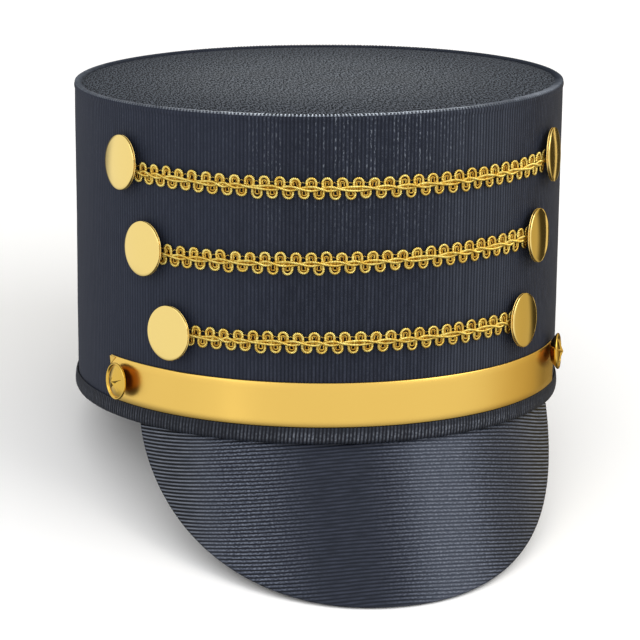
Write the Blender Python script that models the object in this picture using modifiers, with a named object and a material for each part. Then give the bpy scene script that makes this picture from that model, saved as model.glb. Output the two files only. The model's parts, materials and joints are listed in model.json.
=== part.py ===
"""A marching band hat: a stiff drum crown with a curved peak, gold band, buttons and braids.

The hat is modelled upright in its own frame, its lower edge at z = 0 and its peak towards -Y,
under an empty that tips it back to lie as it rests on a table: on the back of its lower edge and
on the tip of its peak. The origin is the centre of the resting hat's box, at table height.
All lengths are in metres and all angles in degrees.
"""

from math import asin, atan2, cos, hypot, pi, radians, sin

import bmesh
import bpy

# Crown: the drum, its flat top and the rolled seam round the top edge. The top rises to the right.
top_radius = 0.1000
base_radius = 0.0998
crown_height = 0.1281
wall_thickness = 0.0022
top_thickness = 0.0020
top_sink = 0.0006
top_rise = 0.7
welt_radius = 0.0014
welt_proud = 0.0003

# Tape folded over the lower edge
binding_height = 0.0066
binding_thickness = 0.0010
binding_fold_radius = 0.0005

# Peak: a curved sheet whose straight lines all run forward and down
peak_root_radius = 0.0990
peak_thickness = 0.0020
peak_length = 0.0644
peak_slope = 60.0
peak_half_angle = 58.6
peak_outline_power = 2.34
peak_corner_power = 0.525
peak_corner_share = 0.9992

# Gold band across the front
band_height = 0.0177
band_thickness = 0.0006

# All the trim is set round the drum by this angle from the middle of the peak
trim_turn = -5.3

# Plain discs
disc_radius = 0.0108
disc_rim_depth = 0.0014
disc_dome = 0.0005
disc_stand_off = 0.0019
disc_rim_width = 0.0009
disc_groove = 0.00012

# Buttons at the ends of the gold band
button_radius = 0.0074
button_cup_depth = 0.0021
button_cup_radius = 0.0048
button_rim_depth = 0.0011
button_rim_width = 0.0011
button_recess = 0.0006
button_dome = 0.0013
button_clear = 0.0009
star_radius = 0.0050
star_waist = 0.0021
star_relief = 0.0005

# Shanks, and how a disc or button hangs on one: turned away from the front and tipped up
shank_radius = 0.0020
lean = 7.0
tip_up = 3.0

# Braids
braid_width = 0.0090
braid_core = 0.0028
braid_thickness = 0.0016
braid_pitch = 0.0059
braid_tuck = 0.0056

# Clearance between pieces that touch
seat = 0.0003

# Facets
ring_steps = 80
disc_steps = 24
welt_sides = 8
fold_steps = 3
peak_columns = 48
band_steps = 48
columns_per_loop = 4

# The three rows of trim. Heights, rises and sags are shares of the crown's height:
# a rise lifts the right end and lowers the left one, a sag lifts both ends of a braid.
# A turn sets the whole row round the drum from the middle of the trim.
rows = [
    dict(name="upper", disc_height=0.8100, disc_rise=0.0012, half_angle=57.0, turn=0.0,
         braid_height=0.7830, braid_rise=0.0055, braid_sag=0.0133),
    dict(name="middle", disc_height=0.5650, disc_rise=0.0078, half_angle=49.8, turn=0.0,
         braid_height=0.5600, braid_rise=0.0150, braid_sag=0.0031),
    dict(name="lower", disc_height=0.3138, disc_rise=0.0039, half_angle=43.5, turn=0.9,
         braid_height=0.3169, braid_rise=0.0062, braid_sag=0.0),
]

# The two sides. A button's angle and the band's end are measured from the middle of the trim,
# and a button's height is a share of the band's height above its lower edge.
sides = [
    dict(name="left", sign=-1, button_angle=57.9, button_height=0.50, band_end=63.0),
    dict(name="right", sign=1, button_angle=61.9, button_height=0.82, band_end=66.3),
]


# Sizes that follow from those above
band_low = binding_height + seat / 2
button_stand_off = band_thickness + seat + button_clear
welt_centre_radius = top_radius + welt_proud - welt_radius
wall_top = crown_height - 2 * welt_radius - seat
wall_bottom = binding_thickness + seat
peak_inner_radius = peak_root_radius - peak_thickness / sin(radians(peak_slope))


def wall_radius(height):
    """Outer radius of the drum at a height above its lower edge."""
    return base_radius + (top_radius - base_radius) * height / crown_height


binding_radius = base_radius + seat + binding_thickness


def rest_pose():
    """Tilt of the hat about X as it rests, and the place of its own frame's origin."""
    tip_y = -(peak_inner_radius + peak_length * cos(radians(peak_slope)))
    tip_z = -seat - peak_length * sin(radians(peak_slope))
    heel_y = binding_radius - binding_fold_radius
    heel_z = binding_fold_radius
    run, drop = heel_y - tip_y, heel_z - tip_z
    tilt = atan2(drop, run) - asin(binding_fold_radius / hypot(run, drop))
    floor = tip_z * cos(tilt) - tip_y * sin(tilt)
    seam_height = crown_height - welt_radius
    back = welt_centre_radius * cos(tilt) + seam_height * sin(tilt) + welt_radius
    front_y = tip_y - (peak_root_radius - peak_inner_radius)
    front = front_y * cos(tilt) + tip_z * sin(tilt)
    return tilt, (0.0, -(back + front) / 2, -floor)


def clear_scene():
    for old in list(bpy.data.objects):
        bpy.data.objects.remove(old, do_unlink=True)


def make_material(name, colour, roughness, metallic):
    material = bpy.data.materials.new(name)
    material.use_nodes = True
    shader = material.node_tree.nodes["Principled BSDF"]
    shader.inputs["Base Color"].default_value = (*colour, 1.0)
    shader.inputs["Roughness"].default_value = roughness
    shader.inputs["Metallic"].default_value = metallic
    material.diffuse_color = (*colour, 1.0)
    return material


def add_empty(name, parent, location, rotation):
    empty = bpy.data.objects.new(name, None)
    hat_collection.objects.link(empty)
    empty.parent = parent
    empty.location = location
    empty.rotation_euler = rotation
    return empty


def add_object(name, mesh, material, smooth_angle=35.0):
    """Put a mesh into the hat's collection, under the hat's empty."""
    mesh.materials.clear()
    mesh.materials.append(material)
    mesh.shade_smooth()
    mesh.set_sharp_from_angle(angle=radians(smooth_angle))
    piece = bpy.data.objects.new(name, mesh)
    hat_collection.objects.link(piece)
    piece.parent = hat
    return piece


def add_cutter(name, mesh, parent):
    """A piece that only serves a Boolean of another one."""
    cutter = bpy.data.objects.new(name, mesh)
    cutter_collection.objects.link(cutter)
    cutter.parent = parent
    cutter.hide_render = True
    cutter.display_type = "WIRE"
    return cutter


def add_boolean(piece, operation, cutter):
    boolean = piece.modifiers.new(operation.lower(), "BOOLEAN")
    boolean.operation = operation
    boolean.solver = "EXACT"
    boolean.object = cutter


def profile_mesh(name, points, closed):
    """A flat profile in the XZ plane, listed down its outer side from top to bottom."""
    mesh = bpy.data.meshes.new(name)
    shape = bmesh.new()
    corners = [shape.verts.new((radius, 0.0, height)) for radius, height in points]
    last = len(corners) if closed else len(corners) - 1
    for i in range(last):
        shape.edges.new((corners[i], corners[(i + 1) % len(corners)]))
    shape.to_mesh(mesh)
    shape.free()
    return mesh


def add_screw(piece, steps, angle=2 * pi):
    screw = piece.modifiers.new("turn", "SCREW")
    screw.axis = "Z"
    screw.angle = angle
    screw.steps = steps
    screw.render_steps = steps
    screw.use_merge_vertices = True
    screw.merge_threshold = 0.00001
    return screw


def add_solidify(piece, thickness, offset):
    skin = piece.modifiers.new("thickness", "SOLIDIFY")
    skin.thickness = thickness
    skin.offset = offset
    return skin


def turned(name, points, closed, steps, material):
    piece = add_object(name, profile_mesh(name, points, closed), material)
    add_screw(piece, steps)
    return piece


def make_crown_wall():
    """The drum, made too tall and then cut off along the slope of the top."""
    outline = [
        (wall_radius(crown_height), crown_height),
        (wall_radius(wall_bottom), wall_bottom),
        (wall_radius(wall_bottom) - wall_thickness, wall_bottom),
        (wall_radius(crown_height) - wall_thickness, crown_height),
    ]
    piece = turned("crown_wall", outline, True, ring_steps, wall_cloth)
    shape = bmesh.new()
    bmesh.ops.create_cube(shape, size=4 * top_radius)
    bmesh.ops.translate(shape, verts=shape.verts,
                        vec=(0.0, 0.0, 2 * top_radius + wall_top - crown_height))
    mesh = bpy.data.meshes.new("above_wall")
    shape.to_mesh(mesh)
    shape.free()
    add_boolean(piece, "DIFFERENCE", add_cutter("above_wall", mesh, top_frame))
    return piece


def make_crown_top():
    radius = welt_centre_radius - welt_radius - seat
    lower = -top_sink - top_thickness
    outline = [(0.0, -top_sink), (radius, -top_sink), (radius, lower), (0.0, lower)]
    piece = turned("crown_top", outline, False, ring_steps, top_cloth)
    piece.parent = top_frame
    return piece


def make_rim_welt():
    outline = []
    for i in range(welt_sides):
        angle = -2 * pi * i / welt_sides
        outline.append((welt_centre_radius + welt_radius * cos(angle),
                        welt_radius * (sin(angle) - 1)))
    piece = turned("rim_welt", outline, True, ring_steps, tape_cloth)
    piece.parent = top_frame
    return piece


def make_base_binding():
    """Tape folded round the lower edge: outer side, fold, underside and a shorter inner side."""
    inner = base_radius - wall_thickness - seat
    outline = [(binding_radius, binding_height)]
    for i in range(fold_steps + 1):
        angle = radians(90.0) * i / fold_steps
        outline.append((binding_radius - binding_fold_radius * (1 - cos(angle)),
                        binding_fold_radius * (1 - sin(angle))))
    outline += [
        (inner - binding_thickness, 0.0),
        (inner - binding_thickness, binding_height),
        (inner, binding_height),
        (inner, binding_thickness),
        (binding_radius - binding_thickness, binding_thickness),
        (binding_radius - binding_thickness, binding_height),
    ]
    return turned("base_binding", outline, True, ring_steps, tape_cloth)


def peak_reach(share):
    """Length of the peak along its slope, at a share from -1 to 1 of its half angle."""
    return peak_length * (1 - abs(share) ** peak_outline_power) ** peak_corner_power


def peak_section(share):
    """Four corners of the peak's section along one straight line of its slope."""
    angle = radians(peak_half_angle) * share
    reach = peak_reach(share)
    forward, down = reach * cos(radians(peak_slope)), reach * sin(radians(peak_slope))
    corners = []
    for radius in (peak_root_radius, peak_inner_radius):
        root = (radius * sin(angle), -radius * cos(angle), -seat)
        edge = (root[0], root[1] - forward, root[2] - down)
        corners += [root, edge] if radius == peak_root_radius else [edge, root]
    return corners


def make_peak():
    """A loft through the sections, which all lie along one slope but differ in length."""
    shape = bmesh.new()
    rings = []
    for i in range(peak_columns + 1):
        share = peak_corner_share * sin(pi * (i / peak_columns - 0.5))
        rings.append([shape.verts.new(corner) for corner in peak_section(share)])
    for ring, following in zip(rings, rings[1:]):
        for j in range(4):
            k = (j + 1) % 4
            shape.faces.new((ring[j], ring[k], following[k], following[j]))
    shape.faces.new(reversed(rings[0]))
    shape.faces.new(rings[-1])
    bmesh.ops.recalc_face_normals(shape, faces=shape.faces)
    mesh = bpy.data.meshes.new("peak")
    shape.to_mesh(mesh)
    shape.free()
    return add_object("peak", mesh, peak_cloth)


def make_gold_band():
    """A strip on the drum behind the two buttons, lapping past each of them."""
    low, high = band_low, band_low + band_height
    line = [(wall_radius(high) + seat, high), (wall_radius(low) + seat, low)]
    left, right = sides
    piece = add_object("gold_band", profile_mesh("gold_band", line, False), gold)
    add_screw(piece, band_steps, radians(left["band_end"] + right["band_end"]))
    add_solidify(piece, band_thickness, 1.0)
    piece.rotation_euler = (0.0, 0.0, radians(trim_turn - 90.0 - left["band_end"]))
    return piece


def hang(piece, side, angle_from_trim, height):
    """Seat a disc or button on the drum, leaning on its shank."""
    angle = radians(trim_turn + angle_from_trim)
    radius = wall_radius(height)
    piece.location = (radius * sin(angle), -radius * cos(angle), height)
    piece.rotation_euler = (pi / 2 - radians(tip_up), 0.0, angle + side["sign"] * radians(lean))


def shank_foot(clearance):
    """Where a leaning shank ends, clear of what it is fixed to."""
    return clearance + seat + shank_radius * sin(radians(lean + tip_up))


def disc_outline():
    back = disc_stand_off
    front = back + disc_rim_depth
    rim = disc_radius - disc_rim_width
    return [
        (0.0, front + disc_dome),
        (rim / 2, front + disc_dome * 0.72),
        (rim - disc_rim_width / 2, front - disc_groove),
        (rim, front - disc_groove),
        (disc_radius - disc_rim_width / 2, front),
        (disc_radius, front - disc_rim_width / 3),
        (disc_radius, back + disc_rim_width / 3),
        (disc_radius - disc_rim_width / 2, back),
        (shank_radius, back),
        (shank_radius, shank_foot(0.0)),
        (0.0, shank_foot(0.0)),
    ]


def make_disc(row, side):
    name = f"disc_{row['name']}_{side['name']}"
    piece = turned(name, disc_outline(), False, disc_steps, gold)
    height = crown_height * (row["disc_height"] + side["sign"] * row["disc_rise"])
    hang(piece, side, row["turn"] + side["sign"] * row["half_angle"], height)
    return piece


def button_outline():
    back = button_stand_off
    rim_back = back + button_cup_depth
    front = rim_back + button_rim_depth
    field = button_radius - button_rim_width
    floor = front - button_recess
    return [
        (0.0, floor + button_dome),
        (field / 2, floor + button_dome * 0.75),
        (field, floor),
        (field + button_rim_width / 4, front),
        (button_radius - button_rim_width / 4, front),
        (button_radius, front - button_rim_width / 4),
        (button_radius, rim_back),
        (button_cup_radius, back),
        (shank_radius, back),
        (shank_radius, shank_foot(band_thickness + seat)),
        (0.0, shank_foot(band_thickness + seat)),
    ]


def make_star(name):
    """A five-pointed faceted relief, to be joined to a button."""
    shape = bmesh.new()
    peak_height = button_dome + star_relief
    bmesh.ops.create_cone(shape, cap_ends=True, segments=10, radius1=star_radius, radius2=0.0,
                          depth=peak_height)
    bmesh.ops.remove_doubles(shape, verts=shape.verts, dist=0.00001)
    for corner in shape.verts:
        reach = hypot(corner.co.x, corner.co.y)
        if reach > star_waist:
            step = round(atan2(corner.co.y, corner.co.x) * 10 / (2 * pi))
            if step % 2:
                corner.co.x *= star_waist / reach
                corner.co.y *= star_waist / reach
    floor = button_stand_off + button_cup_depth + button_rim_depth - button_recess
    bmesh.ops.translate(shape, verts=shape.verts, vec=(0.0, 0.0, floor + peak_height / 2))
    mesh = bpy.data.meshes.new(name)
    shape.to_mesh(mesh)
    shape.free()
    return add_cutter(name, mesh, hat)


def make_button(side):
    name = f"band_button_{side['name']}"
    piece = turned(name, button_outline(), False, disc_steps, gold)
    star = make_star(f"star_{side['name']}")
    height = band_low + band_height * side["button_height"]
    for each in (piece, star):
        hang(each, side, side["sign"] * side["button_angle"], height)
    add_boolean(piece, "UNION", star)
    return piece


def make_braid(row):
    """A strip on the drum with a row of round loops along each edge, half a loop apart."""
    radius = wall_radius(crown_height * row["braid_height"]) + seat
    half = radians(row["half_angle"]) - braid_tuck / radius
    loops = max(2, round(2 * half * radius / braid_pitch))
    columns = loops * columns_per_loop
    shape = bmesh.new()
    bmesh.ops.create_grid(shape, x_segments=columns, y_segments=1, size=1.0)
    for corner in shape.verts:
        along, upper = corner.co.x, corner.co.y > 0
        phase = (along + 1) / 2 * loops + (0.0 if upper else 0.5)
        bulge = abs(sin(pi * phase)) * (braid_width - braid_core) / 2
        edge = braid_core / 2 + bulge
        turn = along * half / radians(row["half_angle"])
        middle = row["braid_height"] + row["braid_rise"] * turn + row["braid_sag"] * turn ** 2
        angle = radians(trim_turn + row["turn"]) + along * half
        height = crown_height * middle + (edge if upper else -edge)
        corner.co = (radius * sin(angle), -radius * cos(angle), height)
    bmesh.ops.recalc_face_normals(shape, faces=shape.faces)
    mesh = bpy.data.meshes.new(f"braid_{row['name']}")
    shape.to_mesh(mesh)
    shape.free()
    piece = add_object(f"braid_{row['name']}", mesh, braid_gold)
    outward = mesh.polygons[0].normal.dot(mesh.polygons[0].center) > 0
    add_solidify(piece, braid_thickness, 1.0 if outward else -1.0)
    return piece


clear_scene()

hat_collection = bpy.data.collections.new("marching_band_hat")
cutter_collection = bpy.data.collections.new("boolean_shapes")
for collection in (hat_collection, cutter_collection):
    bpy.context.scene.collection.children.link(collection)

rest_tilt, rest_place = rest_pose()
hat = add_empty("hat", None, rest_place, (-rest_tilt, 0.0, 0.0))
top_frame = add_empty("top_frame", hat, (0.0, 0.0, crown_height), (0.0, -radians(top_rise), 0.0))

wall_cloth = make_material("wall_cloth", (0.030, 0.036, 0.052), 0.80, 0.0)
top_cloth = make_material("top_cloth", (0.050, 0.056, 0.068), 0.85, 0.0)
tape_cloth = make_material("tape_cloth", (0.034, 0.040, 0.054), 0.75, 0.0)
peak_cloth = make_material("peak_cloth", (0.030, 0.037, 0.052), 0.60, 0.0)
gold = make_material("gold", (0.83, 0.56, 0.15), 0.22, 1.0)
braid_gold = make_material("braid_gold", (0.75, 0.50, 0.10), 0.40, 1.0)

make_crown_wall()
make_crown_top()
make_rim_welt()
make_base_binding()
make_peak()
make_gold_band()
for side in sides:
    make_button(side)
for row in rows:
    make_braid(row)
    for side in sides:
        make_disc(row, side)
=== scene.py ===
"""Looks for a marching band hat, built round its CAD frame.

Each detailed piece is made upright in the hat's own frame, as the solids are: lower edge at z = 0,
peak towards -Y, lengths in metres, angles measured round the drum from the front towards +X.
The finished mesh is then laid back with the tilt of the resting hat. The ribs of the cloth, the
stitches and the cords of the braids are real geometry. Finer weave is bump.
"""
import json
from math import atan2, cos, pi, radians, sin, tan

import bmesh
import bpy
import numpy as np
from mathutils import Matrix, Vector


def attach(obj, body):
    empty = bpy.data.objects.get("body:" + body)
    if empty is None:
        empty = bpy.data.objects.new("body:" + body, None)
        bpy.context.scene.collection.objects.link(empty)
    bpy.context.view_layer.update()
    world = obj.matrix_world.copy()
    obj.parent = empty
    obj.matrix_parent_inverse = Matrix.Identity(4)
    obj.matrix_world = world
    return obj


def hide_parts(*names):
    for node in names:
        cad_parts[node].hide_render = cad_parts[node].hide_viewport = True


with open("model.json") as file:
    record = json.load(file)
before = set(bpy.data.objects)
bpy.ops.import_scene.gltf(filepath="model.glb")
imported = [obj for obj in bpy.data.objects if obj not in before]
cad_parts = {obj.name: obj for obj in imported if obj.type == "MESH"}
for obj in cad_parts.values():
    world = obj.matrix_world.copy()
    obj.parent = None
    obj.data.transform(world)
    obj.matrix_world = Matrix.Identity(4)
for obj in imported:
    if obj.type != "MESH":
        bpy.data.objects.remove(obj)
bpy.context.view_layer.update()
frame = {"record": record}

# The drum, as in the solids
top_radius = 0.1000
base_radius = 0.0998
crown_height = 0.1281
wall_thickness = 0.0022
top_thickness = 0.0020
top_sink = 0.0006
top_rise = 0.7
welt_radius = 0.0014
welt_proud = 0.0003
binding_height = 0.0066
binding_thickness = 0.0010
seat = 0.0003

# The peak
peak_root_radius = 0.0990
peak_thickness = 0.0020
peak_length = 0.0644
peak_slope = 60.0
peak_half_angle = 58.6
peak_outline_power = 2.34
peak_corner_power = 0.525
peak_corner_share = 0.9992

# The gold band, the discs and the buttons
band_height = 0.0177
band_thickness = 0.0006
trim_turn = -5.3
disc_radius = 0.0108
disc_rim_depth = 0.0014
disc_dome = 0.0008
disc_stand_off = 0.0019
button_radius = 0.0074
button_cup_depth = 0.0021
button_cup_radius = 0.0048
button_rim_depth = 0.0011
button_rim_width = 0.0011
button_recess = 0.0006
button_dome = 0.0013
button_dome_power = 2.2
button_clear = 0.0009
star_radius = 0.0050
star_waist = 0.0021
star_relief = 0.0010
shank_radius = 0.0020
lean = 7.0
tip_up = 3.0

# The braids
braid_width = 0.0090
braid_pitch = 0.0059
braid_tuck = 0.0056
wrap_pitch = 0.00056

# Cloth
wall_rib_pitch = 0.00149
wall_rib_depth = 0.00012
dimple_depth = 0.00035
dimple_spread = 0.008
tape_rib_pitch = 0.00145
tape_rib_depth = 0.00030
columns_per_rib = 6
stitch_pitch = 0.00145
stitch_radius = 0.00027
stitch_reach = 0.0046
stitch_bottom = 56.0
stitch_top = 108.0

# The peak's ribs. How they bow is given as shares of the radius of its root: dip and tilt are one
# wave round the drum, cosine and sine, and bow and skew are two
peak_rib_pitch = 0.00145
peak_rib_depth = 0.00032
peak_rib_dip = -0.099
peak_rib_tilt = -0.086
peak_rib_bow = 0.131
peak_rib_skew = 0.046

rows = [
    dict(name="upper", disc_height=0.8100, disc_rise=0.0012, half_angle=57.0, turn=0.0,
         braid_height=0.7830, braid_rise=0.0055, braid_sag=0.0133),
    dict(name="middle", disc_height=0.5650, disc_rise=0.0078, half_angle=49.8, turn=0.0,
         braid_height=0.5600, braid_rise=0.0150, braid_sag=0.0031),
    dict(name="lower", disc_height=0.3138, disc_rise=0.0039, half_angle=43.5, turn=0.9,
         braid_height=0.3169, braid_rise=0.0062, braid_sag=0.0),
]
sides = [
    dict(name="left", sign=-1, button_angle=57.9, button_height=0.50, band_end=63.0),
    dict(name="right", sign=1, button_angle=61.9, button_height=0.82, band_end=66.3),
]

# Camera: where it stands round the upright hat, and how far its aim is off the hat's middle
camera_distance = 1.0797
camera_turn = -14.0
camera_rise = 11.47
camera_aim_up = -0.0349
camera_aim_right = 0.0013
camera_roll = 0.57
camera_lens = 145.6

# Sizes that follow
band_low = binding_height + seat / 2
welt_centre_radius = top_radius + welt_proud - welt_radius
welt_centre_height = crown_height - welt_radius
stitch_lay_radius = welt_radius + stitch_radius * 0.2
wall_top = crown_height - 2 * welt_radius + seat
wall_bottom = binding_thickness + seat
button_stand_off = band_thickness + seat + button_clear
peak_inner_radius = peak_root_radius - peak_thickness / sin(radians(peak_slope))

random = np.random.default_rng(7)

# The resting hat's tilt and place come from the record's mount on the top face
top_mount = frame["record"]["mounts"][0]
rest_tilt = atan2(top_mount["axis"][1], top_mount["axis"][2])
laid_back = Matrix.Rotation(-rest_tilt, 4, "X")
rest_place = Vector(top_mount["pos_m"]) - laid_back @ Vector((0, 0, crown_height - top_sink))
hat_to_world = Matrix.Translation(rest_place) @ laid_back


def wall_radius(height):
    return base_radius + (top_radius - base_radius) * height / crown_height


def together(*parts):
    """Vectors from their parts, each a number or an array."""
    return np.stack(np.broadcast_arrays(*parts), -1)


def around(radius, angle, height):
    """Points on the drum: angle is in radians from the front towards +X."""
    return together(radius * np.sin(angle), -radius * np.cos(angle), height)


def top_slope(points):
    """Lift points with the top, which rises towards +X."""
    points = points.copy()
    points[..., 2] += tan(radians(top_rise)) * points[..., 0]
    return points


def ripple(across, along, size, count=9, seed=1):
    """Smooth random waves of amplitude about 1, for unevenness no longer than a few of size."""
    draw = np.random.default_rng(seed)
    total = 0.0
    for _ in range(count):
        bearing, phase = draw.uniform(0, 2 * pi, 2)
        rate = 2 * pi / (size * draw.uniform(0.7, 2.0))
        total = total + np.sin(rate * (across * cos(bearing) + along * sin(bearing)) + phase)
    return total / count ** 0.5


def arc(centre, radius, start, end, count):
    """Points on an arc in a profile, angles in degrees from +radius towards +height."""
    return [(centre[0] + radius * cos(radians(a)), centre[1] + radius * sin(radians(a)))
            for a in np.linspace(start, end, count)]


# Meshes: a part is (points, faces, cloth), where cloth is a vector for the materials

def lattice(points, cloth, wrap=True, loop=True, caps=False):
    """A part from a grid of points: wrap closes its columns and loop closes its rows."""
    count = points.shape[0] * points.shape[1]
    index = np.arange(count).reshape(points.shape[:2])
    first, last = index[0], index[-1]
    if loop:
        index = np.vstack([index, index[:1]])
    if wrap:
        index = np.hstack([index, index[:, :1]])
    corners = [index[:-1, :-1], index[1:, :-1], index[1:, 1:], index[:-1, 1:]]
    faces = np.stack(corners, -1).reshape(-1, 4).tolist()
    if caps:
        faces += [first.tolist(), last[::-1].tolist()]
    return points.reshape(-1, 3), faces, np.broadcast_to(cloth, points.shape).reshape(-1, 3)


def close_ends(part, row_count, column_count):
    """Fill the two open ends of a lattice whose rows loop."""
    points, faces, cloth = part
    index = np.arange(row_count * column_count).reshape(row_count, column_count)
    return points, faces + [index[:, 0].tolist(), index[::-1, -1].tolist()], cloth


def tube(path, radius, sides, out=(0.0, 0.0, 1.0)):
    """A round cord along a path. Its cloth vector is the length along and the turn around it."""
    path = np.asarray(path, float)
    ahead = np.gradient(path, axis=0)
    ahead /= np.linalg.norm(ahead, axis=1)[:, None]
    aside = np.cross(ahead, out)
    aside /= np.linalg.norm(aside, axis=1)[:, None]
    above = np.cross(aside, ahead)
    turn = np.arange(sides) * 2 * pi / sides
    radius = np.broadcast_to(radius, len(path))[:, None, None]
    ring = aside[:, None] * np.cos(turn)[None, :, None]
    ring = ring + above[:, None] * np.sin(turn)[None, :, None]
    length = np.concatenate([[0.0], np.cumsum(np.linalg.norm(np.diff(path, axis=0), axis=1))])
    cloth = together(length[:, None], turn[None], 0.0)
    return lattice(path[:, None] + radius * ring, cloth, loop=False, caps=True)


def make_piece(name, parts, material, replaced, sharp=40.0, merge=False):
    """Join the parts into one piece, lay it back with the hat, attach it and hide what it replaces."""
    points, faces, cloth, start = [], [], [], 0
    for part_points, part_faces, part_cloth in parts:
        points.append(part_points)
        cloth.append(part_cloth)
        faces += [[i + start for i in face] for face in part_faces]
        start += len(part_points)
    mesh = bpy.data.meshes.new(name)
    mesh.from_pydata(np.concatenate(points).tolist(), [], faces)
    layer = mesh.attributes.new("cloth", "FLOAT_VECTOR", "POINT")
    layer.data.foreach_set("vector", np.concatenate(cloth).astype(np.float32).ravel())
    shape = bmesh.new()
    shape.from_mesh(mesh)
    if merge:
        bmesh.ops.remove_doubles(shape, verts=shape.verts, dist=1e-6)
    bmesh.ops.recalc_face_normals(shape, faces=shape.faces)
    shape.to_mesh(mesh)
    shape.free()
    mesh.transform(hat_to_world)
    mesh.materials.append(material)
    mesh.shade_smooth()
    mesh.set_sharp_from_angle(angle=radians(sharp))
    piece = bpy.data.objects.new(name, mesh)
    bpy.context.scene.collection.objects.link(piece)
    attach(piece, "root")
    if replaced:
        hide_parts(replaced)
    return piece


# Materials

class Nodes:
    """Short ways to add shader nodes to a tree."""

    def __init__(self, tree):
        self.tree = tree

    def add(self, kind, **settings):
        node = self.tree.nodes.new(kind)
        for setting, value in settings.items():
            setattr(node, setting, value)
        return node

    def join(self, source, target):
        self.tree.links.new(source, target)
        return source

    def noise(self, where, scale, detail=2.0):
        node = self.add("ShaderNodeTexNoise")
        node.inputs["Scale"].default_value = scale
        node.inputs["Detail"].default_value = detail
        node.inputs["Roughness"].default_value = 0.5
        self.join(where, node.inputs["Vector"])
        return node.outputs["Fac"]

    def math(self, operation, first, second=0.0):
        node = self.add("ShaderNodeMath", operation=operation)
        for socket, value in zip(node.inputs, (first, second)):
            if isinstance(value, (int, float)):
                socket.default_value = value
            else:
                self.join(value, socket)
        return node.outputs[0]

    def times(self, first, *others):
        """The product of two or more values."""
        for other in others:
            first = self.math("MULTIPLY", first, other)
        return first

    def off(self, value, middle):
        """How far a value is from a middle one, to either side."""
        return self.math("ABSOLUTE", self.math("SUBTRACT", value, middle))

    def blend(self, share, first, second):
        """A number part of the way from the first to the second."""
        return self.math("ADD", first, self.times(share, self.math("SUBTRACT", second, first)))

    def fit(self, value, low, high, to_low=0.0, to_high=1.0):
        """Carry a value from one range to another, eased at both ends and held beyond them."""
        node = self.add("ShaderNodeMapRange", interpolation_type="SMOOTHSTEP")
        for socket, number in zip(("From Min", "From Max", "To Min", "To Max"),
                                  (low, high, to_low, to_high)):
            node.inputs[socket].default_value = number
        self.join(value, node.inputs["Value"])
        return node.outputs["Result"]

    def mix(self, share, first, second):
        node = self.add("ShaderNodeMix", data_type="RGBA")
        for socket, value in (("A", first), ("B", second)):
            target = next(i for i in node.inputs if i.name == socket and i.type == "RGBA")
            if isinstance(value, tuple):
                target.default_value = (*value, 1.0)
            else:
                self.join(value, target)
        self.join(share, node.inputs["Factor"])
        return next(o for o in node.outputs if o.type == "RGBA")

    def part(self, vector, axis):
        node = self.add("ShaderNodeSeparateXYZ")
        self.join(vector, node.inputs[0])
        return node.outputs[axis]

    def toward(self, vector, direction):
        node = self.add("ShaderNodeVectorMath", operation="DOT_PRODUCT")
        node.inputs[1].default_value = direction
        self.join(vector, node.inputs[0])
        return node.outputs["Value"]


class Finish(Nodes):
    """A Principled material. Its colour and bump come from nodes."""

    def __init__(self, name, colour, roughness, metallic=0.0, **sockets):
        self.material = bpy.data.materials.new(name)
        self.material.use_nodes = True
        super().__init__(self.material.node_tree)
        self.shader = self.tree.nodes["Principled BSDF"]
        self.shader.inputs["Base Color"].default_value = (*colour, 1.0)
        self.shader.inputs["Roughness"].default_value = roughness
        self.shader.inputs["Metallic"].default_value = metallic
        for socket, value in sockets.items():
            self.shader.inputs[socket.replace("_", " ")].default_value = value
        self.normal = None

    def cloth(self, stretch=(1.0, 1.0, 1.0)):
        """The piece's own cloth vector times a stretch."""
        layer = self.add("ShaderNodeAttribute", attribute_name="cloth")
        scaled = self.add("ShaderNodeVectorMath", operation="MULTIPLY")
        scaled.inputs[1].default_value = stretch
        self.join(layer.outputs["Vector"], scaled.inputs[0])
        return scaled.outputs[0]

    def weave(self, across, up, detail):
        """Noise that changes so many times a metre across the cloth and up it."""
        return self.noise(self.cloth((across, up, 0)), 1.0, detail)

    def place(self):
        return self.add("ShaderNodeTexCoord").outputs["Object"]

    def colour(self, source):
        self.join(source, self.shader.inputs["Base Color"])

    def roughness(self, source):
        self.join(source, self.shader.inputs["Roughness"])

    def bump(self, height, distance, strength):
        node = self.add("ShaderNodeBump")
        node.inputs["Strength"].default_value = strength
        node.inputs["Distance"].default_value = distance
        self.join(height, node.inputs["Height"])
        if self.normal:
            self.join(self.normal, node.inputs["Normal"])
        self.normal = self.join(node.outputs["Normal"], self.shader.inputs["Normal"])


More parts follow.
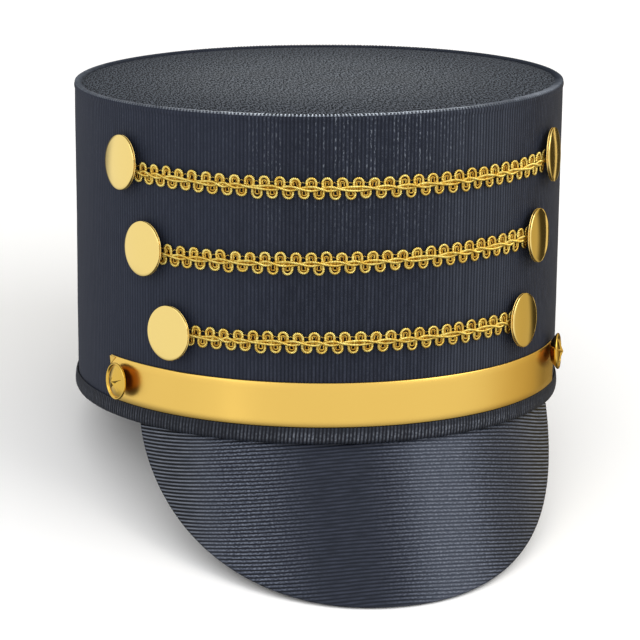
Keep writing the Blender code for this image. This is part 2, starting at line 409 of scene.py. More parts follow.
def wall_finish():
    """Fine vertical ribs with slubs, dark between them with painted shade. Painted light makes the
    crests paler on the right and the ribs less distinct on the left, and high on the front painted
    glints, a painted highlight, make short pale flecks along the crests.

    The cloth vector is the length round the drum, the height and 1 on the crest of a rib.
    """
    finish = Finish("wall_cloth_finish", (0.02, 0.023, 0.033), 0.6, Specular_IOR_Level=0.10,
                    Sheen_Weight=0.06, Sheen_Roughness=0.35)
    along, up, rib = (finish.part(finish.cloth(), axis) for axis in range(3))
    # Painted light on the left: there the gaps are painted lighter and the crests evener
    left = finish.fit(along, -0.075, -0.025, 1.0, 0.0)
    # Painted light on the right: there the crests are painted paler
    right = finish.times(finish.fit(along, 0.010, 0.040), finish.fit(along, 0.050, 0.078, 1.0, 0.0))
    slub = finish.fit(finish.weave(640, 160, 3.0), 0.3, 0.75)
    patch = finish.fit(finish.weave(30, 30, 3.0), 0.35, 0.75, 0.0, 0.4)
    speck = finish.fit(finish.weave(2600, 1900, 1.0), 0.52, 0.72, 0.0, 0.5)
    thread = finish.mix(slub, (0.0135, 0.0165, 0.0275), (0.0275, 0.0325, 0.050))
    worn = finish.mix(patch, thread, (0.031, 0.036, 0.053))
    specked = finish.mix(speck, worn, (0.054, 0.061, 0.083))
    crests_paler_by_painted_light = finish.mix(finish.times(right, 0.5), specked, (0.054, 0.062, 0.081))
    crest_with_painted_light = finish.mix(finish.times(left, 0.5), crests_paler_by_painted_light, (0.026, 0.0315, 0.0500))
    # Painted shade: the gaps between the ribs are painted dark
    gap_painted_shade = finish.mix(left, (0.0088, 0.0108, 0.0180), (0.0140, 0.0172, 0.0285))
    ribs = finish.mix(finish.fit(rib, 0.15, 1.0), gap_painted_shade, crest_with_painted_light)
    # Painted glints, a painted highlight: short pale flecks along the crests, high on the front
    dots = finish.fit(finish.weave(1900, 620, 1.0), 0.50, 0.66)
    lines = finish.fit(finish.weave(640, 60, 1.0), 0.34, 0.60, 0.4, 1.0)
    high = finish.fit(up, 0.062, 0.120, 0.06, 1.0)
    front = finish.fit(finish.off(along, -0.005), 0.020, 0.058, 1.0, 0.15)
    peaks = finish.fit(rib, 0.66, 1.0)
    threads = finish.times(finish.times(dots, lines), finish.times(high, front, peaks))
    finish.colour(finish.mix(threads, ribs, (0.150, 0.168, 0.200)))
    finish.bump(finish.weave(900, 2600, 2.0), 0.00012, 0.7)
    return finish.material


def top_finish():
    """A close mottled weave, with painted shade that darkens it towards its edge and most in a ring
    just inside it.

    The cloth vector is the place across the top and the distance from its middle.
    """
    finish = Finish("top_cloth_finish", (0.09, 0.1, 0.115), 0.9, Specular_IOR_Level=0.03)
    distance = finish.part(finish.cloth(), 2)
    grain = finish.fit(finish.weave(1600, 560, 1.0), 0.44, 0.57)
    patch = finish.fit(finish.weave(45, 45, 3.0), 0.3, 0.7, 0.0, 0.25)
    middle = finish.mix(grain, (0.008, 0.0095, 0.013), (0.165, 0.182, 0.208))
    cloud = finish.mix(patch, middle, (0.072, 0.077, 0.083))
    # Painted shade: towards the edge the weave is painted darker
    outer = finish.mix(grain, (0.003, 0.004, 0.006), (0.086, 0.097, 0.118))
    painted_shade_outward = finish.mix(finish.fit(distance, 0.030, 0.098, 0.0, 0.85), cloud, outer)
    # Painted shade: a dark ring painted just inside the rim
    edge = finish.fit(distance, 0.092, 0.097, 0.0, 0.25)
    finish.colour(finish.mix(edge, painted_shade_outward, (0.020, 0.023, 0.029)))
    warp, weft = finish.weave(1500, 700, 2.0), finish.weave(700, 1500, 2.0)
    finish.bump(finish.math("ADD", warp, weft), 0.00025, 0.8)
    return finish.material


def tape_finish():
    """Ribs across the tape, dark between with painted shade, and with a painted highlight that makes
    them brightest half way up it at the front.

    The cloth vector is the length round the drum, the height and 1 on the crest of a rib.
    """
    finish = Finish("tape_cloth_finish", (0.04, 0.045, 0.058), 0.5, Specular_IOR_Level=0.15,
                    Sheen_Weight=0.05, Sheen_Roughness=0.35)
    along, up, rib = (finish.part(finish.cloth(), axis) for axis in range(3))
    slub = finish.fit(finish.weave(900, 900, 3.0), 0.38, 0.64)
    # Painted highlight: the crests are painted bright half way up the tape at the front, and dark
    # elsewhere
    middle = finish.times(finish.fit(up, 0.0006, 0.0024), finish.fit(up, 0.0036, 0.0056, 1.0, 0.15))
    front = finish.fit(finish.off(along, 0.006), 0.032, 0.070, 1.0, 0.30)
    lit = finish.mix(slub, (0.042, 0.048, 0.064), (0.140, 0.153, 0.183))
    crest_with_painted_light = finish.mix(finish.times(middle, front), (0.021, 0.025, 0.036), lit)
    # Painted shade: the valleys between the ribs are painted dark
    finish.colour(finish.mix(finish.fit(rib, 0.45, 1.0), (0.0060, 0.0072, 0.0115), crest_with_painted_light))
    finish.bump(finish.weave(900, 3000, 2.0), 0.0001, 0.8)
    return finish.material


def stitch_finish():
    """Pale thread, painted dark where painted light does not fall. The cloth vector's last part is
    how bright each stitch is painted, which is painted light with some random tone.
    """
    finish = Finish("stitch_finish", (0.2, 0.21, 0.24), 0.7, Specular_IOR_Level=0.04)
    tone = finish.fit(finish.noise(finish.place(), 260), 0.3, 0.7, 0.75, 1.25)
    # How much painted light each stitch has, with a little random tone
    bright = finish.times(finish.part(finish.cloth(), 2), tone)
    finish.colour(finish.mix(bright, (0.034, 0.041, 0.056), (0.80, 0.87, 0.98)))
    finish.bump(finish.weave(5200, 1.2, 1.0), 0.00008, 0.8)
    return finish.material


def peak_finish():
    """Corded satin: its threads run along the ribs. Painted shade makes the ribs stand out least near
    the middle, and away from it painted sheen, painted highlights and painted shade set them off.

    The cloth vector is the length round the drum, the length across the ribs and 0 on the hem.
    """
    finish = Finish("peak_cloth_finish", (0.03, 0.035, 0.05), 0.34, Specular_IOR_Level=0.14,
                    Sheen_Weight=0.03, Sheen_Roughness=0.3)
    along, across, inside = (finish.part(finish.cloth(), axis) for axis in range(3))
    wave = finish.math("ABSOLUTE", finish.math("SINE", finish.times(across, pi / peak_rib_pitch)))
    thread = finish.fit(finish.weave(160, 1400, 3.0), 0.3, 0.7)
    dots = finish.fit(finish.weave(1000, 1900, 2.0), 0.38, 0.66)
    # Painted shade and painted sheen: the ribs are painted dull near the middle and set off away from
    # it
    painted_sheen_off_middle = finish.fit(finish.off(along, -0.0165), 0.006, 0.038)
    # Near the two ends the crests are painted pale and thin and the valleys nearly black: painted
    # highlight and painted shade
    ends = finish.fit(finish.off(along, 0.0), 0.060, 0.086)
    # Painted highlights: a glossy-looking stretch right of the middle and a weaker one near the left
    # end
    painted_highlight_right = finish.fit(finish.off(along, 0.025), 0.004, 0.024, 1.0, 0.0)
    painted_highlight_left = finish.fit(finish.off(along, -0.078), 0.004, 0.018, 0.6, 0.0)
    painted_highlight = finish.math("MAXIMUM", painted_highlight_left, painted_highlight_right)
    # Painted shade: further to the right the crests are painted dimmer
    shade = finish.fit(along, 0.034, 0.056)
    broad, narrow = finish.fit(wave, 0.40, 0.95), finish.fit(wave, 0.62, 1.0)
    crest = finish.times(finish.blend(ends, broad, narrow), inside)
    # Crest colours: dull in the painted shade of the middle, with painted sheen away from it, dimmer in
    # the painted shade on the right and paler under the painted highlights
    crest_in_painted_shade = finish.mix(thread, (0.018, 0.022, 0.034), (0.034, 0.040, 0.061))
    crest_with_painted_sheen = finish.mix(dots, (0.038, 0.046, 0.069), (0.145, 0.164, 0.215))
    crest_dimmed_by_painted_shade = finish.mix(dots, (0.034, 0.040, 0.058), (0.088, 0.100, 0.130))
    painted_highlight_colour = finish.mix(dots, (0.058, 0.068, 0.093), (0.140, 0.156, 0.198))
    soft = finish.mix(painted_highlight, finish.mix(shade, crest_with_painted_sheen, crest_dimmed_by_painted_shade), painted_highlight_colour)
    pale = finish.mix(thread, (0.088, 0.100, 0.128), (0.155, 0.170, 0.206))
    crest_with_painted_light = finish.mix(ends, finish.mix(painted_sheen_off_middle, crest_in_painted_shade, soft), pale)
    # Painted shade in the valleys: darker away from the middle, lifted under the painted highlights and
    # darkest near the ends
    valley_in_painted_shade = finish.mix(painted_sheen_off_middle, (0.0105, 0.0130, 0.0205), (0.0048, 0.0060, 0.0098))
    valley_lifted_by_painted_highlight = finish.mix(painted_highlight, valley_in_painted_shade, (0.030, 0.036, 0.052))
    valley_with_painted_light = finish.mix(ends, valley_lifted_by_painted_highlight, (0.0024, 0.0030, 0.0050))
    finish.colour(finish.mix(crest, valley_with_painted_light, crest_with_painted_light))
    finish.bump(finish.weave(500, 2600, 2.0), 0.0001, 0.9)
    return finish.material


def gold_finish(name, colour, roughness, smear, back=None):
    """Polished gilt. With back, a height and a colour: what lies behind that height is duller."""
    finish = Finish(name, colour, roughness, 1.0)
    if back:
        height, dull = back
        ahead = finish.fit(finish.part(finish.cloth(), 2), height - 0.0002, height + 0.0002)
        finish.colour(finish.mix(ahead, dull, colour))
    cloud = finish.noise(finish.place(), 60)
    finish.roughness(finish.fit(cloud, 0.3, 0.7, roughness - smear, roughness + smear))
    finish.bump(finish.noise(finish.place(), 240), 0.00004, 0.25)
    return finish.material


def braid_finish():
    """Metallic thread wrapped round a cord: a dark line between one turn and the next.

    The cloth vector is the length along the cord, the turn around it and a tone, which is 0 for
    the pale outer cord and 1 for the dullest.
    """
    finish = Finish("braid_finish", (0.8, 0.55, 0.16), 0.28, 1.0)
    tone = finish.fit(finish.noise(finish.place(), 520), 0.3, 0.7)
    wrap = finish.math("PINGPONG", finish.part(finish.cloth(), 0), wrap_pitch / 2)
    crest = finish.fit(wrap, wrap_pitch * 0.04, wrap_pitch * 0.26)
    pale = finish.mix(tone, (0.86, 0.58, 0.10), (1.0, 0.85, 0.27))
    dull = finish.mix(tone, (0.38, 0.18, 0.020), (0.86, 0.58, 0.10))
    lit = finish.mix(finish.part(finish.cloth(), 2), pale, dull)
    finish.colour(finish.mix(crest, (0.24, 0.11, 0.014), lit))
    return finish.material


wall_cloth = wall_finish()
top_cloth = top_finish()
tape_cloth = tape_finish()
stitch_thread = stitch_finish()
peak_cloth = peak_finish()
band_gold = gold_finish("band_gold_finish", (0.84, 0.555, 0.130), roughness=0.32, smear=0.03)
disc_gold = gold_finish("disc_gold_finish", (0.89, 0.675, 0.235), roughness=0.09, smear=0.02)
button_gold = gold_finish("button_gold_finish", (0.70, 0.45, 0.080), roughness=0.10, smear=0.03,
                          back=(button_stand_off + button_cup_depth, (0.36, 0.165, 0.028)))
braid_gold = braid_finish()


# The drum

def ribbed_columns(pitch):
    """Angles round the drum and the rib's height there, from 0 to 1. Each rib is a little unlike."""
    lowest, roundness = 0.75, 0.8
    ribs = round(2 * pi * base_radius / pitch)
    columns = ribs * columns_per_rib
    phase = np.tile(np.arange(columns_per_rib) / columns_per_rib, ribs)
    heights = np.repeat(random.uniform(lowest, 1.0, ribs), columns_per_rib)
    return -pi + np.arange(columns) * 2 * pi / columns, np.sin(pi * phase) ** roundness * heights


def disc_place(row, side):
    """A disc's angle from the middle of the trim, in degrees, and its height."""
    return (row["turn"] + side["sign"] * row["half_angle"],
            crown_height * (row["disc_height"] + side["sign"] * row["disc_rise"]))


def trim_dimples(angle, height):
    """How far the cloth is drawn in where a disc is sewn on."""
    total = 0.0
    for row in rows:
        for side in sides:
            turn, up = disc_place(row, side)
            away = ((angle - radians(trim_turn + turn)) * top_radius) ** 2 + (height - up) ** 2
            total = total + np.exp(-away / (2 * dimple_spread ** 2))
    return dimple_depth * total


def make_crown_wall(angle, crest):
    """The drum's wall: ribs and dimples outside, plain inside."""
    sway_size, sway_depth = 0.035, 0.00006
    grid = []
    for share in np.linspace(1.0, 0.0, 15):
        height = wall_bottom + share * (wall_top - wall_bottom)
        sway = sway_depth * ripple(angle * base_radius, height, sway_size, seed=3)
        radius = wall_radius(height) + (crest - 1.0) * wall_rib_depth + sway
        grid.append(around(radius - trim_dimples(angle, height), angle, height))
    for share in np.linspace(0.0, 1.0, 3):
        height = wall_bottom + share * (wall_top - wall_bottom)
        grid.append(around(wall_radius(height) - wall_thickness, angle, height))
    grid = np.array(grid)
    share = (grid[..., 2] - wall_bottom) / (wall_top - wall_bottom)
    grid[..., 2] += share * tan(radians(top_rise)) * grid[..., 0]
    cloth = together(angle * base_radius, grid[..., 2], crest)
    make_piece("wall", [lattice(grid, cloth)], wall_cloth, "crown_wall", sharp=60)


def make_crown_top():
    """The flat top, a little puffed and uneven, bending down to its edge."""
    columns, flat_rows, edge_rows = 200, 36, 8
    sway_size, sway_depth = 0.05, 0.00022
    puff_height, edge_drop = 0.0009, 0.0002
    bend = 0.08
    angle = -pi + np.arange(columns) * 2 * pi / columns
    edge = welt_centre_radius - welt_radius - seat
    level = crown_height - top_sink
    flat_part = np.linspace(0, 1 - bend, flat_rows)
    edge_part = 1 - bend * (1 - np.linspace(0.15, 1, edge_rows)) ** 1.5
    grid = []
    for share in np.concatenate([flat_part, edge_part]):
        place = around(share * edge, angle, 0.0)
        sway = ripple(place[..., 0], place[..., 1], sway_size, seed=5) * sway_depth * (1 - share ** 6)
        puff = puff_height * (1 - share ** 8) - edge_drop
        grid.append(around(share * edge, angle, level + puff + sway))
    for share in (1.0, 0.5, 0.0):
        grid.append(around(share * edge, angle, level - top_thickness))
    grid = np.array(grid)
    cloth = together(grid[..., 0], grid[..., 1], np.hypot(grid[..., 0], grid[..., 1]))
    part = lattice(top_slope(grid), cloth, loop=False)
    make_piece("top", [part], top_cloth, "crown_top", sharp=60, merge=True)


def make_rim_roll(angle, crest):
    """The wall's cloth, with its ribs, rolled over the rim."""
    centre = (welt_centre_radius, welt_centre_height)
    above = arc(centre, welt_radius, 90, 12, 4)
    below = [(top_radius + welt_proud * out, welt_centre_height - welt_radius * down)
             for out, down in ((1.0, 0.15), (0.75, 0.45), (0.3, 0.75), (0.0, 1.0))]
    inside = arc(centre, welt_radius, -130, -230, 3)
    rib_depths = wall_rib_depth * np.array([0.0, 0.5, 0.8] + [1.0] * 5 + [0.0] * 3)
    grid = np.array([around(radius + (crest - 1.0) * rib_depth, angle, height)
                     for (radius, height), rib_depth in zip(above + below + inside, rib_depths)])
    cloth = together(angle * base_radius, grid[..., 2], crest)
    part = lattice(top_slope(grid), cloth)
    make_piece("rim_roll", [part], wall_cloth, "rim_welt", sharp=60)


def stitch_path(at, reach, shift):
    """Over the rim and in on to the edge of the top. It shifts that far round on its way."""
    clear_of_top = 0.0001
    over = np.radians(np.linspace(stitch_bottom, stitch_top, 8))
    radius = welt_centre_radius + stitch_lay_radius * np.cos(over)
    height = welt_centre_height + stitch_lay_radius * np.sin(over)
    drop = height[-1] - (crown_height - top_sink + clear_of_top)
    radius = np.concatenate([radius, radius[-1] - reach * np.linspace(0.25, 1.0, 4)])
    height = np.concatenate([height, height[-1] - drop * np.linspace(0.3, 1.0, 4)])
    turn = at + np.linspace(0, shift, len(radius)) / top_radius
    return top_slope(around(radius, turn, height))


def make_rim_stitches():
    """Threads whipped over the rim on to the edge of the top, and the thread along their lower ends.

    They lie nearly from front to back. Those in front are the longest and, by painted light, the
    palest; painted light makes those on the left a little pale and leaves the rest dark.
    """
    slant, slant_play, place_play, tone_play = 0.0030, 0.0002, 0.12, 0.14
    count = round(2 * pi * top_radius / stitch_pitch)
    places = -pi + np.arange(count) * 2 * pi / count
    # Painted light: each stitch is painted brightest in front and a little bright on the left
    front = np.clip(np.cos(places - radians(2)), 0, 1) ** 3.0
    left = 0.20 * np.clip(np.cos(places + radians(72)), 0, 1) ** 2
    uneven = ripple(places * top_radius, 0.0, 0.07, seed=13)
    bright = front * (0.62 + 0.30 * uneven) + left * (0.35 + 0.35 * uneven)
    parts = []
    for place, tone, ahead in zip(places, bright, front):
        at = place + random.uniform(-place_play, place_play) * 2 * pi / count
        longest = stitch_reach * (0.3 + 0.7 * min(1.0, 2.2 * ahead))
        reach = longest * random.uniform(0.8, 1.1)
        shift = slant * sin(place + radians(12)) + random.uniform(-slant_play, slant_play)
        path = stitch_path(at, reach, shift)
        taper = np.interp(np.linspace(0, 1, len(path)), [0, 0.08, 0.6, 1], [0.7, 1, 0.9, 0.35])
        points, faces, cloth = tube(path, stitch_radius * taper, 5, out=around(0.3, at, 1.0))
        tone = np.clip(tone + random.uniform(-tone_play, tone_play) * max(tone, 0.1), 0.01, 1)
        parts.append((points, faces, cloth + [0, 0, tone]))
    # The cord along their lower ends carries the same painted light
    parts.append(edge_thread(places, np.clip(0.48 * bright + 0.45 * left, 0.02, 1)))
    make_piece("rim_stitches", parts, stitch_thread, None, sharp=80)


def edge_thread(places, bright):
    """A cord along the lower ends of the stitches, thick and pale at each and thin and dark between."""
    cord_radius, swell, rings_per_stitch, around_count = 0.00020, 0.00009, 4, 6
    rings = np.arange(len(places) * rings_per_stitch + 1)
    angle = np.linspace(-pi, pi, len(rings))
    beat = np.cos(rings * 2 * pi / rings_per_stitch)
    turn = radians(stitch_bottom - 5)
    path = around(welt_centre_radius + stitch_lay_radius * cos(turn), angle,
                  welt_centre_height + stitch_lay_radius * sin(turn))
    points, faces, cloth = tube(top_slope(path), cord_radius + swell * beat, around_count)
    # The painted light along the rim sets how pale the cord is
    tone = np.interp(angle, places, bright) * (0.52 + 0.48 * beat)
    return points, faces, cloth + together(0.0, 0.0, np.repeat(tone, around_count))


def make_binding():
    """Ribbed tape folded over the lower edge, a little padded on its outer side."""
    slant = 0.0005
    sway_size, sway_depth = 0.02, 0.00005
    angle, crest = ribbed_columns(tape_rib_pitch)
    outer = base_radius + seat + binding_thickness
    inner = base_radius - wall_thickness - seat
    # Each point of the profile: radius, height and how much of the ribs' depth it has
    profile = [(outer - 0.00085, binding_height - 0.0001, 0.0), (outer - 0.00062, binding_height, 0.3),
               (outer - 0.00038, binding_height - 0.0006, 0.8),
               (outer - 0.00016, binding_height - 0.0016, 1.0),
               (outer, binding_height * 0.5, 1.0), (outer, 0.0019, 1.0),
               (outer - 0.00012, 0.0010, 0.9), (outer - 0.00045, 0.00025, 0.6),
               (outer - 0.0011, 0.0, 0.3), (inner + 0.0002, 0.0, 0.0),
               (inner - binding_thickness, 0.0006, 0.0),
               (inner - binding_thickness, binding_height, 0.0), (inner, binding_height, 0.0),
               (inner, binding_thickness, 0.0), (outer - binding_thickness, binding_thickness, 0.0),
               (outer - binding_thickness, binding_height - 0.0003, 0.0)]
    grid = []
    for radius, height, share in profile:
        shift = slant * (height / binding_height - 0.5)
        sway = sway_depth * share * ripple(angle * base_radius, height, sway_size, seed=8)
        grid.append(around(radius - tape_rib_depth * share * (1 - crest) + sway,
                           angle + shift / base_radius, height))
    grid = np.array(grid)
    cloth = together(angle * base_radius, grid[..., 2], crest)
    make_piece("binding", [lattice(grid, cloth)], tape_cloth, "base_binding",
               sharp=60)


def make_peak():
    """The peak's ribs lie across its slope. Rows run from root to edge, round it and back."""
    columns, rows_per_rib, edge_rows, back_rows = 250, 6.5, 5, 9
    hem, roll = 0.0016, 0.0003
    sway_size, sway_depth = 0.03, 0.00018
    slope = radians(peak_slope)
    forward, down = cos(slope), sin(slope)
    share = peak_corner_share * np.sin(pi * (np.arange(columns + 1) / columns - 0.5))
    angle = radians(peak_half_angle) * share
    reach = peak_length * (1 - np.abs(share) ** peak_outline_power) ** peak_corner_power
    normal = np.stack([np.sin(angle) * down, -np.cos(angle) * down, np.cos(angle) * forward], -1)
    normal /= np.linalg.norm(normal, axis=1)[:, None]
    ahead = np.array([0.0, -forward, -down])
    root = around(peak_root_radius, angle, -seat)
    inner_root = around(peak_inner_radius, angle, -seat)
    bow = peak_root_radius * (peak_rib_bow * np.cos(2 * angle) + peak_rib_skew * np.sin(2 * angle)
                              + peak_rib_dip * np.cos(angle) + peak_rib_tilt * np.sin(angle))
    grid, cloth = [], []

    def add_row(start, along, lift, across, inside):
        grid.append(start + along[:, None] * ahead + lift[:, None] * normal)
        cloth.append(together(angle * peak_root_radius, across, inside))

    # Each row keeps its distance from the root until it meets the edge, so that it follows the ribs
    for level in np.arange(0, peak_length, peak_rib_pitch / rows_per_rib):
        along = np.minimum(level, reach - roll)
        across = along + bow
        across = across + sway_depth * ripple(angle * peak_root_radius, across, sway_size, seed=11)
        wave = np.abs(np.sin(pi * across / peak_rib_pitch)) ** 0.8
        inside = np.clip((reach - along) / hem, 0, 1) ** 0.6
        lift = peak_rib_depth * (wave - 1.0) * inside
        lift = lift - roll * np.clip(1 - (reach - along) / (2 * roll), 0, 1) ** 2
        add_row(root, along, lift, across, inside)
    for i in range(1, edge_rows):
        turn = pi * i / edge_rows
        inward = (1 - cos(turn)) / 2
        start = root * (1 - inward) + inner_root * inward
        add_row(start, reach - roll * (1 - sin(turn)), np.full(columns + 1, -roll * (1 - inward)),
                across, 0.0)
    for i in range(back_rows):
        add_row(inner_root, (reach - roll) * (1 - i / (back_rows - 1)), np.zeros(columns + 1),
                across, 0.5)
    part = close_ends(lattice(np.array(grid), np.array(cloth), wrap=False), len(grid), columns + 1)
    make_piece("peak_cover", [part], peak_cloth, "peak", sharp=60, merge=True)


# Gold pieces

def folded_corner(high):
    """The band's upper left corner, folded over on its face as a small triangle."""
    fold, lift, sunk = 0.0034, 0.00025, 0.0001
    from_top, from_end, tip_lift = 0.0002, 0.002, 0.00035
    end = radians(trim_turn - sides[0]["band_end"]) + from_end
    corners = [(0.0, 0.0, tip_lift), (0.0, fold, 0.0), (fold / base_radius, 0.0, 0.0)]
    points = []
    for out in (band_thickness - sunk, band_thickness + lift):
        for along, down, tip in corners:
            height = high - from_top - down
            points.append(around(wall_radius(height) + seat + out + tip, end + along, height))
    points = np.array(points)
    faces = [[0, 2, 1], [3, 4, 5], [0, 1, 4, 3], [1, 2, 5, 4], [2, 0, 3, 5]]
    return points, faces, points


def make_gold_band():
    """A smooth strip with turned edges, its outer face a little crowned."""
    columns, face_rows = 260, 6
    lip, crown, turned_in = 0.0003, 0.00006, 0.00002
    left, right = sides
    ends = trim_turn - left["band_end"], trim_turn + right["band_end"]
    angle = np.radians(np.linspace(*ends, columns))
    low, high = band_low, band_low + band_height
    profile = [(0.0, high), (band_thickness * 0.6, high - turned_in), (band_thickness, high - lip)]
    profile += [(band_thickness + crown * sin(pi * k / face_rows),
                 high - lip - (band_height - 2 * lip) * k / face_rows) for k in range(1, face_rows)]
    profile += [(band_thickness, low + lip), (band_thickness * 0.6, low + turned_in), (0.0, low)]
    grid = np.array([around(wall_radius(height) + seat + out, angle, height)
                     for out, height in profile])
    cloth = together(angle * base_radius, grid[..., 2], 0.0)
    part = close_ends(lattice(grid, cloth, wrap=False), len(profile), columns)
    make_piece("band", [part, folded_corner(high)], band_gold, "gold_band",
               sharp=50)


def hung(part, angle_from_trim, side, height):
    """Turn a part that faces +Z to hang on the drum, leaning on its shank."""
    points, faces, cloth = part
    angle = radians(trim_turn + angle_from_trim)
    out = angle + side["sign"] * radians(lean)
    turn = Matrix.Rotation(out, 4, "Z") @ Matrix.Rotation(pi / 2 - radians(tip_up), 4, "X")
    place = Vector(around(wall_radius(height), angle, height).tolist())
    move = np.array(Matrix.Translation(place) @ turn)
    return points @ move[:3, :3].T + move[:3, 3], faces, cloth


def turned(profile, steps=96):
    """A solid of revolution about Z from a profile listed down its outer side."""
    angle = np.arange(steps) * 2 * pi / steps
    grid = np.array([around(radius, angle, height) for radius, height in profile])
    return lattice(grid, grid, loop=False)


def shank(back, clearance):
    """The end of a profile: a round shank that stops short of what it is sewn to."""
    foot = clearance + seat + shank_radius * sin(radians(lean + tip_up))
    return [(shank_radius, back), (shank_radius, foot), (0.0, foot)]


def disc_profile():
    """A domed face, a rolled rim, a groove round the edge, a flat back and the shank."""
    dome_rows, roll, back_roll, groove = 14, 0.00042, 0.00024, 0.00055
    back, front = disc_stand_off, disc_stand_off + disc_rim_depth
    field = disc_radius - roll
    dome = [(field * k / dome_rows, front + disc_dome * (1 - (k / dome_rows) ** 2))
            for k in range(dome_rows)]
    rim = arc((field, front - roll + 0.00002), roll, 70, -50, 9)
    edge = [(disc_radius - groove, front - 0.00078), (disc_radius - groove, back + 0.00050)]
    back_rim = arc((disc_radius - 0.0003, back + back_roll), back_roll, 80, -90, 8)
    return dome + rim + edge + back_rim + [(disc_radius * 0.6, back + 0.00005)] + shank(back, 0.0)


def make_discs():
    for row in rows:
        for side in sides:
            turn, height = disc_place(row, side)
            name = f"disc_{row['name']}_{side['name']}"
            part = hung(turned(disc_profile()), turn, side, height)
            make_piece(name + "_gilt", [part], disc_gold, name, sharp=55, merge=True)


def button_profile():
    """A domed face within a raised rim, a cup behind it and the shank."""
    dome_rows, roll = 8, 0.0005
    back = button_stand_off
    rim_back = back + button_cup_depth
    front = rim_back + button_rim_depth
    field = button_radius - button_rim_width
    floor = front - button_recess
    dome = [(field * k / dome_rows, floor + button_dome * (1 - (k / dome_rows) ** button_dome_power))
            for k in range(dome_rows + 1)]
    rim = arc((button_radius - roll, front - roll), roll, 135, -60, 9)
    cup = [(button_radius - 0.0003, rim_back), (button_cup_radius + 0.0012, back + 0.0013),
           (button_cup_radius, back + 0.0003), (button_cup_radius - 0.0006, back)]
    return dome + rim + cup + shank(back, band_thickness + seat)


def star_part():
    """A five-pointed relief with a ridge down each point."""
    tip_lift, waist_sink = 0.00012, 0.00025
    floor = button_stand_off + button_cup_depth + button_rim_depth - button_recess
    field = button_radius - button_rim_width
    points = [(0.0, 0.0, floor + button_dome + star_relief)]
    for k in range(10):
        reach, lift = (star_radius, tip_lift) if k % 2 == 0 else (star_waist, -waist_sink)
        angle = 2 * pi * k / 10 + pi / 2
        dome = button_dome * (1 - (reach / field) ** button_dome_power)
        points.append((reach * cos(angle), reach * sin(angle), floor + dome + lift))
    points.append((0.0, 0.0, floor))
    faces = [[0, 1 + k, 1 + (k + 1) % 10] for k in range(10)]
    faces += [[11, 1 + (k + 1) % 10, 1 + k] for k in range(10)]
    points = np.array(points)
    return points, faces, points


def make_buttons():
    for side in sides:
        height = band_low + band_height * side["button_height"]
        parts = [hung(part, side["sign"] * side["button_angle"], side, height)
                 for part in (turned(button_profile()), star_part())]
        name = "band_button_" + side["name"]
        make_piece(name + "_gilt", parts, button_gold, name, sharp=30)


# Braids

def braid_lay(row, half, length):
    """How a point of the flat braid (along, across, out) lies on the drum."""
    radius = wall_radius(crown_height * row["braid_height"]) + seat

    def lay(points):
        along = points[:, 0] / (length / 2)
        turn = along * half / radians(row["half_angle"])
        middle = row["braid_height"] + row["braid_rise"] * turn + row["braid_sag"] * turn ** 2
        angle = radians(trim_turn + row["turn"]) + along * half
        return around(radius + points[:, 2], angle, crown_height * middle + points[:, 1])
    return lay


def wrapped(path, radius, sides):
    """A cord wrapped in thread: its radius swells between one turn of the thread and the next."""
    steps = np.linalg.norm(np.diff(path, axis=0), axis=1)
    length = np.concatenate([[0.0], np.cumsum(steps)])
    count = int(length[-1] / (wrap_pitch / 4))
    even = np.linspace(0, length[-1], count)
    path = np.stack([np.interp(even, length, path[:, i]) for i in range(3)], -1)
    swell = 1 - 0.28 * np.abs(np.cos(pi * even / wrap_pitch)) ** 3
    return tube(path, radius * swell, sides)


def make_braid(row):
    """Scallops of wrapped cord, duller ones inside them, and a pair of cords down the middle."""
    outer_cord, inner_cord, core_cord, crossing_cord = 0.00064, 0.00042, 0.00070, 0.00060
    link_thread = 0.00012
    outer_bulge, inner_bulge, nested = 0.00085, 0.00037, 0.00116
    crossing_length, crossing_width, crossing_depth = 0.0088, 0.00078, 0.00030
    radius = wall_radius(crown_height * row["braid_height"]) + seat
    half = radians(row["half_angle"]) - braid_tuck / radius
    length = 2 * half * radius
    loops = round(length / braid_pitch)
    t = np.linspace(0, 2 * pi * loops, loops * 90 + 1)
    middle = length / loops * t / (2 * pi) - length / 2
    lay = braid_lay(row, half, length)
    seed = len(row["name"])
    uneven = 0.00024 * ripple(middle, 0.0, 0.012, seed=21 + seed)
    skew = 0.00022 * ripple(middle, 0.0, 0.012, seed=41 + seed)
    height = braid_width / 2 - outer_cord
    cords = []

    def add_cord(along, across, out, size, sides, tone):
        points, faces, cloth = wrapped(together(along, across, out), size, sides)
        cords.append((lay(points), faces, cloth + [0, 0, tone]))

    add_cord(middle + outer_bulge * np.sin(2 * t) + skew * np.cos(t), (height + uneven) * np.cos(t),
             0.00078 + 0.00022 * np.sin(t), outer_cord, 8, 0.0)
    add_cord(middle + inner_bulge * np.sin(4 * t) + skew * np.cos(t), (height - nested) * np.cos(t),
             0.00064 - 0.0001 * np.sin(t), inner_cord, 7, 0.8)
    add_cord(middle + skew, 0.0003 * np.cos(3 * t), 0.00085, core_cord, 6, 0.9)
    turn = pi * middle / crossing_length + 0.8 * ripple(middle, 0.0, 0.018, seed=31 + seed)
    for side in (-1, 1):
        add_cord(middle, side * crossing_width * np.cos(turn),
                 0.00156 + side * crossing_depth * np.sin(turn), crossing_cord, 8, 0.1)
    link = together(middle, 0.0021 + 0.0002 * np.sin(5 * t), 0.0004 + 0.0002 * np.cos(3 * t))
    points, faces, cloth = tube(link[::4], link_thread, 5)
    cords.append((lay(points), faces, cloth))
    make_piece(f"braid_{row['name']}_cords", cords, braid_gold, f"braid_{row['name']}",
               sharp=80)


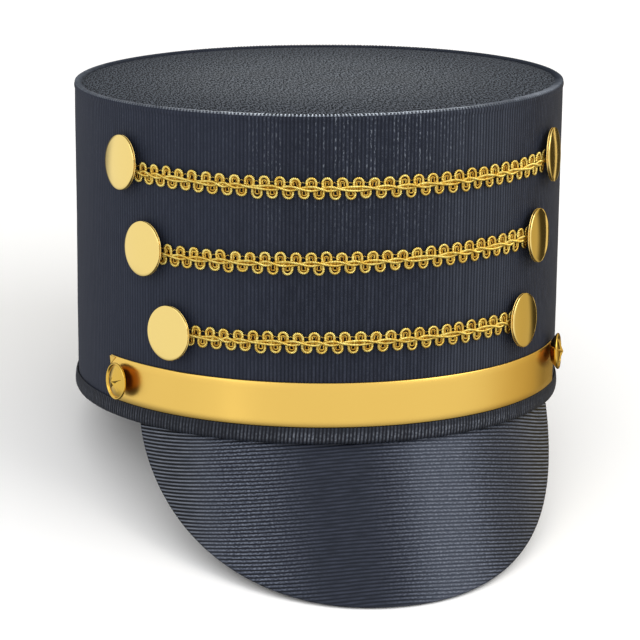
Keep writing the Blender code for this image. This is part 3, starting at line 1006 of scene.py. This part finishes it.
wall_angle, wall_crest = ribbed_columns(wall_rib_pitch)
make_crown_wall(wall_angle, wall_crest)
make_crown_top()
make_rim_roll(wall_angle, wall_crest)
make_rim_stitches()
make_binding()
make_peak()
make_gold_band()
make_discs()
make_buttons()
for row in rows:
    make_braid(row)


# The stage: a pale floor, two soft boxes and a soft sky that is darker behind on the right

def make_floor():
    shape = bmesh.new()
    bmesh.ops.create_grid(shape, x_segments=1, y_segments=1, size=6.0)
    mesh = bpy.data.meshes.new("floor")
    shape.to_mesh(mesh)
    shape.free()
    finish = Finish("floor_finish", (0.96, 0.96, 0.96), 0.9)
    mesh.materials.append(finish.material)
    floor = bpy.data.objects.new("floor", mesh)
    floor.location.z = -0.0002
    floor.visible_glossy = False
    bpy.context.scene.collection.objects.link(floor)


def aim(azimuth, rise):
    """A direction: azimuth in degrees from the front towards +X, and degrees above the level."""
    a, e = radians(azimuth), radians(rise)
    return Vector((sin(a) * cos(e), -cos(a) * cos(e), sin(e)))


def add_light(name, azimuth, rise, distance, size, power):
    lamp = bpy.data.lights.new(name, "AREA")
    lamp.shape = "RECTANGLE"
    lamp.size, lamp.size_y = size
    lamp.energy = power
    light = bpy.data.objects.new(name, lamp)
    out = aim(azimuth, rise)
    light.location = Vector((0, 0, 0.08)) + out * distance
    light.rotation_mode = "QUATERNION"
    light.rotation_quaternion = out.to_track_quat("Z", "Y")
    bpy.context.scene.collection.objects.link(light)


def make_sky():
    """Even white above. At the back right it falls away, with one bright strip, and is warmer."""
    world = bpy.data.worlds.new("studio")
    world.use_nodes = True
    sky = Nodes(world.node_tree)
    background = world.node_tree.nodes["Background"]
    where = sky.add("ShaderNodeTexCoord").outputs["Generated"]

    def fade(direction, outer, inner, level):
        """1 beyond outer degrees from a direction, easing to level within inner degrees of it."""
        return sky.fit(sky.toward(where, direction), cos(radians(outer)), cos(radians(inner)),
                       1.0, level)

    back_right, behind, below = aim(131, -14), aim(-172, -12), (0, 0, -1)
    strip_turn, strip_core, strip_edge, strip_level = radians(130), radians(1.0), radians(3.4), 1.7
    off_strip = sky.off(sky.toward(where, (cos(strip_turn), sin(strip_turn), 0.0)), 0.0)
    strip = sky.fit(off_strip, sin(strip_core), sin(strip_edge), strip_level, 0.0)
    dark_or_strip = sky.math("MAXIMUM", fade(back_right, 22, 13, 0.10), strip)
    strength = sky.times(fade(back_right, 70, 24, 0.58), dark_or_strip, fade(behind, 40, 20, 0.12),
                         fade(below, 70, 34, 0.12))
    sky.join(strength, background.inputs["Strength"])
    warm, white = (1.0, 0.80, 0.38), (1.0, 1.0, 1.0)
    sky.join(sky.mix(fade(back_right, 68, 28, 0.0), warm, white), background.inputs["Color"])
    bpy.context.scene.world = world


def make_camera():
    """The photograph's camera, set out round the upright hat and then laid back with it."""
    back = aim(camera_turn, camera_rise)
    place = Vector((0, 0, crown_height / 2)) + back * camera_distance
    right = (-back).cross(Vector((0, 0, 1))).normalized()
    up = right.cross(-back)
    ahead = (-back + camera_aim_up * up + camera_aim_right * right).normalized()
    right = ahead.cross(Vector((0, 0, 1))).normalized()
    up = right.cross(ahead)
    roll = radians(camera_roll)
    right, up = cos(roll) * right + sin(roll) * up, cos(roll) * up - sin(roll) * right
    pose = Matrix((right, up, -ahead)).transposed().to_4x4()
    pose.translation = place
    lens = bpy.data.cameras.new("camera")
    lens.lens = camera_lens
    lens.sensor_width = 36.0
    lens.clip_start, lens.clip_end = 0.01, 50.0
    camera = bpy.data.objects.new("camera", lens)
    camera.matrix_world = hat_to_world @ pose
    bpy.context.scene.collection.objects.link(camera)
    bpy.context.scene.camera = camera


make_floor()
add_light("left_box", azimuth=-72, rise=38, distance=1.1, size=(0.8, 0.6), power=1.35)
add_light("right_box", azimuth=66, rise=44, distance=1.1, size=(0.9, 0.6), power=4.8)
make_sky()
make_camera()
bpy.context.scene.view_settings.view_transform = "Standard"
